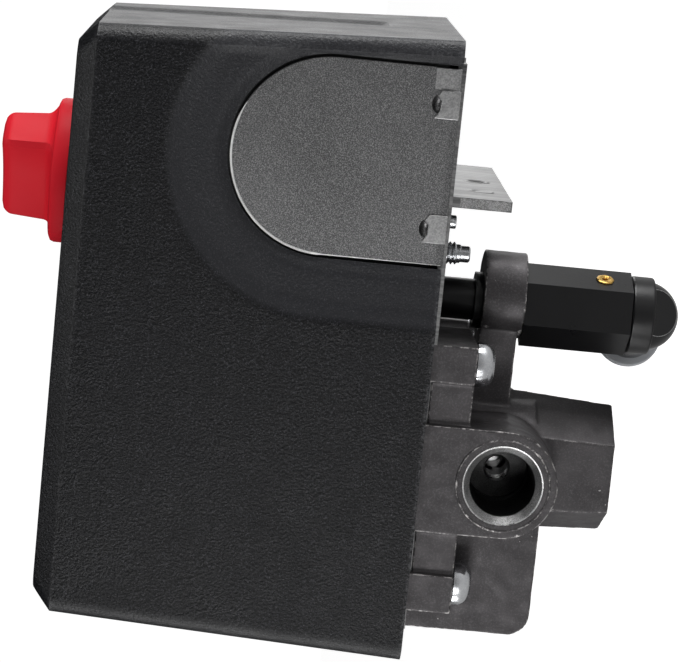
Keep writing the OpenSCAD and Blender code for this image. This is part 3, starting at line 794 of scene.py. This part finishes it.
def make_base_plate():
    """The plate, the sheared edges, hole rim and dimple of its bent tab, and rounded strips along its top
    edges: real rounding, drawn in a brighter steel than the plate as a painted highlight.
    """
    foot = box_mm("base_plate")[0].z + TAB_START
    face = next(m["pos_m"][0] for m in frame["record"]["mounts"] if m["name"] == "tab_face") / MM
    softened("base_plate", 0.15, look="brushed_steel")
    steps = 40
    heights = [foot + (TAB_HEIGHT - TAB_START) * i / steps for i in range(steps + 1)]
    for side in (-1, 1):
        outline = [(face - TAB_THICK + 0.02 + 0.22 * random.random(), z) for z in heights]
        outline += [(face - 0.02 - 0.3 * random.random() ** 2, z) for z in reversed(heights)]
        bm = slab(outline, *sorted((side * (TAB_HALF - 0.3), side * (TAB_HALF + 0.06))))
        edge = link("tab_edge", mesh_from("tab_edge", bm), "base_plate", "sheared")
        rounded(edge, 0.04, 1, 30)
    bm = lathe([(1.35, 0), (1.6, 0.1), (1.9, 0.12), (2.3, 0.02), (2.3, -0.1), (1.35, -0.1)], 48, closed=True,
               matrix=along((face, 0, TAB_HOLE_Z), (1, 0, 0)))
    link("tab_hole_rim", mesh_from("tab_hole_rim", bm), "base_plate", "brushed_steel")
    bm = lathe([(0, -0.12), (0.9, -0.1), (1.3, 0.0), (1.75, 0.1), (2.1, 0.02), (2.2, -0.05)], 48,
               matrix=along((face, TAB_DIMPLE_Y, TAB_HOLE_Z), (1, 0, 0)))
    link("tab_dimple", mesh_from("tab_dimple", bm), "base_plate", "brushed_steel")
    # Rounded strips along the plate's top edges between the pads, in a brighter steel than the plate: real
    # rounding with a painted highlight.
    bm = bmesh.new()
    angles = [math.radians(a) for a in range(0, 181, 15)]
    for side in (-1, 1):
        outline = [(side * (PLATE_EDGE - 0.15 + 0.6 * math.sin(a)), PLATE_TOP - 0.7 + 0.62 * math.cos(a))
                   for a in angles]
        for x0, x1 in EDGE_RUNS:
            near = [bm.verts.new((x0, y, z)) for y, z in outline]
            far = [bm.verts.new((x1, y, z)) for y, z in outline]
            for i in range(len(near)):
                j = (i + 1) % len(near)
                bm.faces.new([near[i], far[i], far[j], near[j]])
            bm.faces.new(near)
            bm.faces.new(far[::-1])
    smooth(link("plate_edges", mesh_from("plate_edges", bm), "base_plate", "bright_steel"), 40)


# ---------------------------------------------------------------- fasteners
def make_stud():
    """The earth stud: a real spiral thread with a plain dog point."""
    low, high = box_mm("ground_stud")
    centre = Vector(((low.x + high.x) / 2, (low.y + high.y) / 2, low.z))
    top, crest, steps = high.z - low.z, (high.x - low.x) / 2, 28
    core = [(0, 0), (1.15, 0), (1.4, 0.25), (1.4, 1.6), (STUD_CORE, STUD_DOG), (STUD_CORE, top), (0, top)]
    bm = lathe(core, 40, matrix=along(centre, (0, 0, 1)))
    rings = []
    turns = int((top - 2.2) / STUD_PITCH)
    for i in range(turns * steps + 1):
        a = 2 * math.pi * i / steps
        z = STUD_DOG + STUD_PITCH * i / steps
        outer = STUD_CORE + (crest - STUD_CORE) * min(1.0, i / steps * 1.5)
        section = ((STUD_CORE - 0.06, -0.05), (outer, STUD_PITCH * 0.42), (outer, STUD_PITCH * 0.55),
                   (STUD_CORE - 0.06, STUD_PITCH * 0.97))
        rings.append([bm.verts.new((centre.x + r * math.cos(a), centre.y + r * math.sin(a), centre.z + z + h))
                      for r, h in section])
    join_rings(bm, rings)
    bm.faces.new(rings[0])
    bm.faces.new(rings[-1][::-1])
    smooth(link("stud_thread", mesh_from("stud_thread", bm), "ground_stud", replaces=True), 30)


def pan_screw(bm, at, direction, radius, height, drive=1.9):
    """A pan head with a pressed cross recess; its seat is at Z 0."""
    place = along(at, direction)
    profile = [(radius - 0.25, 0), (radius, 0.25), (radius, height * 0.35)]
    for i in range(1, 9):
        a = math.radians(90 * i / 8)
        profile.append((drive + (radius - drive) * math.cos(a), height * 0.35 + height * 0.65 * math.sin(a)))
    flat, rim = height - 0.02, drive * 0.98
    profile.append((rim, flat))
    lathe(profile, HEAD_STEPS, bm=bm, matrix=place)
    lathe([(radius - 0.25, 0), (0, 0)], HEAD_STEPS, bm=bm, matrix=place)
    points = []
    for k in range(4):
        a = math.radians(90 * k)
        for x, y in ((CROSS_ARM, CROSS_ARM), (drive * 0.8, CROSS_ARM * 0.8), (drive * 0.8, -CROSS_ARM * 0.8)):
            points.append((x * math.cos(a) + y * math.sin(a), x * math.sin(a) - y * math.cos(a)))
    points.sort(key=lambda p: math.atan2(p[1], p[0]))
    angles = [2 * math.pi * i / HEAD_STEPS for i in range(HEAD_STEPS)]
    ring = [bm.verts.new(place @ Vector((rim * math.cos(a), rim * math.sin(a), flat))) for a in angles]
    top = [bm.verts.new(place @ Vector((x, y, flat))) for x, y in points]
    bottom = [bm.verts.new(place @ Vector((x * 0.55, y * 0.55, height - 1.1))) for x, y in points]
    for i in range(len(points)):
        j = (i + 1) % len(points)
        bm.faces.new([top[i], top[j], bottom[j], bottom[i]])
    bm.faces.new(bottom)
    edges = [bm.edges.new((a, b)) for a, b in zip(ring, ring[1:] + ring[:1])]
    edges += [bm.edges.get((a, b)) for a, b in zip(top, top[1:] + top[:1])]
    bmesh.ops.triangle_fill(bm, use_beauty=True, use_dissolve=False, edges=edges)


def make_screws():
    low, high = box_mm("flange_screws")
    seat = low.z + FLANGE_HEAD_SEAT
    bm = bmesh.new()
    for sx in (-1, 1):
        for sy in (-1, 1):
            at = (sx * (high.x - FLANGE_HEAD_R), sy * (high.y - FLANGE_HEAD_R), seat)
            pan_screw(bm, at, (0, 0, -1), FLANGE_HEAD_R, FLANGE_HEAD_H)
            lathe([(0, -0.1), (SHANK_R, -0.1), (SHANK_R, high.z - seat), (0, high.z - seat)], 32, bm=bm,
                  matrix=along(at, (0, 0, 1)))
    screws = link("flange_screw_heads", mesh_from("flange_screw_heads", bm), "flange_screws", replaces=True)
    smooth(screws, 32)
    low, high = box_mm("cover_screws")
    shank = high.z - (COVER_HEAD_SEAT - 0.1) - low.z
    bm = bmesh.new()
    for side in (-1, 1):
        x, y = (low.x + high.x) / 2, side * (high.y - COVER_SCREW_HEAD)
        pan_screw(bm, (x, y, high.z - COVER_HEAD_SEAT), (0, 0, 1), COVER_SCREW_HEAD, COVER_HEAD_H)
        lathe([(0, 0), (SHANK_R, 0), (SHANK_R, shank), (0, shank)], 32, bm=bm,
              matrix=along((x, y, low.z), (0, 0, 1)))
    screws = link("cover_screw_heads", mesh_from("cover_screw_heads", bm), "cover_screws", replaces=True)
    smooth(screws, 32)


# ---------------------------------------------------------------- casting
def thread_profile(radius, depth, mouth, mouth_h, cross=2.0):
    """Half section of a threaded port, from its mouth (height 0) down to the small passage at its end."""
    profile = [(mouth + 0.12, 0.05), (mouth - 0.1, 0.03), (radius, -mouth_h)]
    z = -mouth_h
    while z > -depth + 2.2:
        profile += [(radius - 0.06, z - 0.1), (radius - 0.2, z - THREAD_PITCH * 0.42),
                    (radius - 0.2, z - THREAD_PITCH * 0.55), (radius - 0.06, z - THREAD_PITCH * 0.9)]
        z -= THREAD_PITCH
    profile += [(radius - 0.5, z - 0.3), (radius - 0.5, -depth + 0.05), (cross + 0.3, -depth + 0.05),
                (cross, -depth - 0.2), (cross, -depth - 3)]
    return profile


def make_casting():
    """The manifold's cast skin, with crisp machined ports set into it."""
    obj = link("manifold_skin", cad_mesh("manifold", "manifold_skin"), "manifold", replaces=True)
    remesh = obj.modifiers.new("remesh", "REMESH")
    remesh.mode = "VOXEL"
    remesh.voxel_size = 0.24 * MM
    melt = obj.modifiers.new("melt", "SMOOTH")
    melt.factor = 0.5
    melt.iterations = 4
    apply_modifiers(obj)
    shake(obj, 0.05 * MM, 420)
    shake(obj, 0.09 * MM, 150, 3.0)
    for poly in obj.data.polygons:
        poly.use_smooth = True
    for mount in frame["record"]["mounts"]:
        if mount["kind"] == "threaded_hole":
            make_port(mount)


def make_port(mount):
    """The rim, chamfer, thread and end of one port; round a side port, also the ring of its raised boss."""
    name, axis, at = mount["name"], Vector(mount["axis"]), Vector(mount["pos_m"]) / MM
    radius, depth = mount["dims"]["r_mm"], mount["dims"]["length_mm"]
    mouth, mouth_h = radius + INLET_GROW, INLET_MOUTH_H
    if name != "inlet_port":
        mouth, mouth_h = PORT_MOUTH, PORT_MOUTH_H
        at = at + axis * mouth_h
        depth += mouth_h
        ring = lathe([(7.6, -0.1), (7.7, 0.0), (7.8, 0.05), (7.92, 0.05), (8.0, 0.0), (8.1, -0.1)], 96,
                     matrix=along(at, axis))
        smooth(link(name + "_ring", mesh_from(name + "_ring", ring), "manifold"), 60)
    profile = thread_profile(radius, depth, mouth, mouth_h)
    parts = [("_rim", profile[:2], "machined"), ("_mouth", profile[1:3], "chamfer"),
             ("_thread", profile[2:-2], "bore"), ("_passage", profile[-3:], "machined")]
    for suffix, points, look in parts:
        mesh = mesh_from(name + suffix, lathe(points, 96, matrix=along(at, axis)))
        smooth(link(name + suffix, mesh, "manifold", look), 35)


# ---------------------------------------------------------------- unloader valve
def make_valve():
    """The valve's body and collar, its push-in elbow with a flat on the dome, and the bleed insert."""
    softened("valve_body", 0.28, 3)
    softened("valve_collar", 0.45, 4)
    elbow = link("elbow_skin", cad_mesh("elbow", "elbow_skin"), "elbow", "gloss_black", True)
    low, high = box_mm("valve_collar")
    dome = Vector(((low.x + high.x) / 2, 0, box_mm("elbow")[0].z + DOME_R))
    facing = Vector(FACET_FACING).normalized()
    bm = bmesh.new()
    bmesh.ops.create_cube(bm, size=FACET_CUBE)
    cut(elbow, [tool("facet_tool", bm, along(dome + facing * (DOME_FACET + FACET_CUBE / 2), facing))])
    rounded(elbow, 0.2, 3)

    # A thin ring of pale cut metal round the dome's flat, cut off where the collar hides it: a painted
    # highlight on the flat's edge.
    reach = math.sqrt(DOME_R ** 2 - DOME_FACET ** 2)
    bm = lathe([(reach - 0.08, -0.1), (reach + 0.05, -0.1), (reach + 0.05, 0.0), (reach - 0.08, 0.02)], 96,
               closed=True, matrix=along(dome + facing * DOME_FACET, facing))
    bmesh.ops.bisect_plane(bm, geom=bm.verts[:] + bm.edges[:] + bm.faces[:], plane_co=(0, 0, low.z - 0.05),
                           plane_no=(0, 0, 1), clear_outer=True)
    bmesh.ops.holes_fill(bm, edges=bm.edges[:])
    smooth(link("elbow_flat_rim", mesh_from("elbow_flat_rim", bm), "elbow", "chamfer"), 35)
    softened("elbow_sleeve", 0.35, 3)
    softened("bleed_insert", 0.1, 2)

    low, high = box_mm("bleed_insert")
    valve_low, valve_high = box_mm("valve_body")
    valve_x = (valve_low.x + valve_high.x) / 2
    axis = Vector(((low.x + high.x) / 2 - valve_x, (low.y + high.y) / 2, 0)).normalized()
    centre = Vector((valve_x, 0, (low.z + high.z) / 2))
    section = [(0.75, -0.2), (1.45, -0.2), (1.6, 0.0), (1.6, 0.12), (1.4, 0.28), (0.95, 0.3), (0.75, 0.1)]
    bm = lathe(section, 8, closed=True, matrix=along(centre + axis * BLEED_OUT, axis))
    collar = link("bleed_collar", mesh_from("bleed_collar", bm), "bleed_insert")
    rounded(collar, 0.05, 2, 30)


# ---------------------------------------------------------------- pieces
for name, obj in frame["nodes"].items():
    dress(obj, SLOT_OF[name])

make_cover()
make_knob()
make_side_plate("side_plate_front", -1)
make_side_plate("side_plate_rear", 1)
make_base_plate()
make_stud()
make_screws()
make_casting()
make_valve()
softened("small_rivet", 0.2)


# ---------------------------------------------------------------- stage
def area_light(name, at, towards, size, power):
    data = bpy.data.lights.new(name, "AREA")
    data.shape = "RECTANGLE"
    data.size, data.size_y = (s * MM for s in size)
    data.energy = power
    obj = bpy.data.objects.new(name, data)
    obj.location = Vector(at) * MM
    obj.rotation_euler = (Vector(towards) - Vector(at)).to_track_quat("-Z", "Y").to_euler()
    bpy.context.scene.collection.objects.link(obj)


def only_seen(tree, hidden, seen):
    """A strength that is one value for the light a surface gives and another for how it is seen."""
    path = tree.nodes.new("ShaderNodeLightPath")
    choice = tree.nodes.new("ShaderNodeMapRange")
    choice.inputs["To Min"].default_value = hidden
    choice.inputs["To Max"].default_value = seen
    tree.links.new(path.outputs["Is Camera Ray"], choice.inputs["Value"])
    return choice.outputs["Result"]


def make_world(ambient):
    world = bpy.data.worlds.new("studio")
    bpy.context.scene.world = world
    world.use_nodes = True
    tree = world.node_tree
    background = tree.nodes["Background"]
    tree.links.new(only_seen(tree, ambient, 1.05), background.inputs["Strength"])
    background.inputs["Color"].default_value = (1, 1, 1, 1)


def make_floor(glow):
    """A plain pale floor just under the part, which glows a little, as a white table gives back light."""
    bm = bmesh.new()
    bmesh.ops.create_grid(bm, x_segments=2, y_segments=2, size=FLOOR_HALF * MM)
    mesh = bpy.data.meshes.new("floor")
    bm.to_mesh(mesh)
    bm.free()
    floor = bpy.data.objects.new("floor", mesh)
    floor.location = (0, 0, CAD_BOX[0][2] - FLOOR_GAP * MM)
    bpy.context.scene.collection.objects.link(floor)
    mat, tree, shader = new_material("floor_white")
    shader.inputs["Base Color"].default_value = (0.5, 0.5, 0.5, 1)
    shader.inputs["Roughness"].default_value = 0.8
    shader.inputs["Emission Color"].default_value = (1, 1, 1, 1)
    tree.links.new(only_seen(tree, glow, 0.97), shader.inputs["Emission Strength"])
    mesh.materials.append(mat)


def make_camera():
    data = bpy.data.cameras.new("camera")
    data.lens = CAMERA_LENS
    data.sensor_width = 36
    data.clip_start, data.clip_end = 0.01, 20
    cam = bpy.data.objects.new("camera", data)
    cam.location = Vector(CAMERA_AT) * MM
    cam.rotation_euler = [math.radians(a) for a in CAMERA_TURN]
    bpy.context.scene.collection.objects.link(cam)
    bpy.context.scene.camera = cam


bpy.context.scene.view_settings.view_transform = "Standard"
AMBIENT, GLOW = 0.02, 0.14
FLOOR_HALF, FLOOR_GAP = 1800, 22
AIM = (20, 0, 50)
# name, place, size and power of each light
LIGHTS = [
    ("top", (450, -10, 80), (200, 300), 2.3),
    ("top_back", (300, 500, 60), (400, 300), 0.75),
    ("front_low", (-340, -540, -10), (350, 350), 2.8),
    ("front_top", (500, -420, 160), (250, 250), 0.3),
    ("left", (60, -160, 520), (300, 300), 0.9),
    ("bottom", (-480, -100, 40), (300, 300), 1.5),
]
make_world(AMBIENT)
make_floor(GLOW)
make_camera()
for name, at, size, power in LIGHTS:
    area_light(name, at, AIM, size, power)
